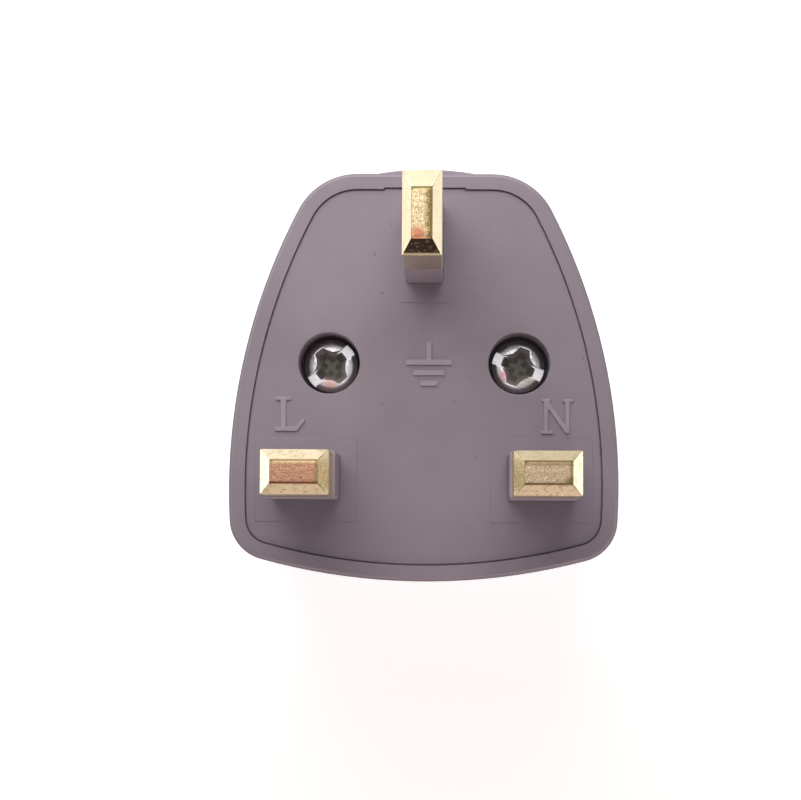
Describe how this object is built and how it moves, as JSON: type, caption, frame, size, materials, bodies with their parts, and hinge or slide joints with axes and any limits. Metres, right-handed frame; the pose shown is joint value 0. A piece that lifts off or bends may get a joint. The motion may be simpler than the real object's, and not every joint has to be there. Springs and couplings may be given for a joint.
{
  "type": "travel adapter",
  "caption": "Travel adapter with sleeved rectangular pins on a recessed rear cover and a universal socket for round, blade and block pins in its front face.",
  "frame": {"origin": "centre of the adapter's outline, in the plane of the socket face on which it rests", "axes": "+Z along the pins, towards their tips; +Y towards the earth pin; +X from the live to the neutral side"},
  "size_m": [0.0368, 0.0406, 0.0505],
  "materials": {
    "body_plastic": "fine spark-eroded moulding, mauve grey",
    "cover_plastic": "fine spark-eroded moulding, mauve grey",
    "sleeve_plastic": "smooth moulding, mauve grey",
    "pin_brass": "pale, stamped and barrel polished",
    "contact_brass": "rolled strip",
    "screw_steel": "zinc plated"
  },
  "bodies": {
    "root": {"front_housing": "body_plastic", "rear_cover": "cover_plastic", "live_pin": "pin_brass", "neutral_pin": "pin_brass", "earth_pin": "pin_brass", "live_sleeve": "sleeve_plastic", "neutral_sleeve": "sleeve_plastic", "earth_sleeve": "sleeve_plastic", "live_upper_jaw": "contact_brass", "live_lower_jaw": "contact_brass", "neutral_upper_jaw": "contact_brass", "neutral_lower_jaw": "contact_brass", "earth_right_jaw": "contact_brass", "earth_left_jaw": "contact_brass", "cover_screws": "screw_steel"}
  },
  "joints": []
}
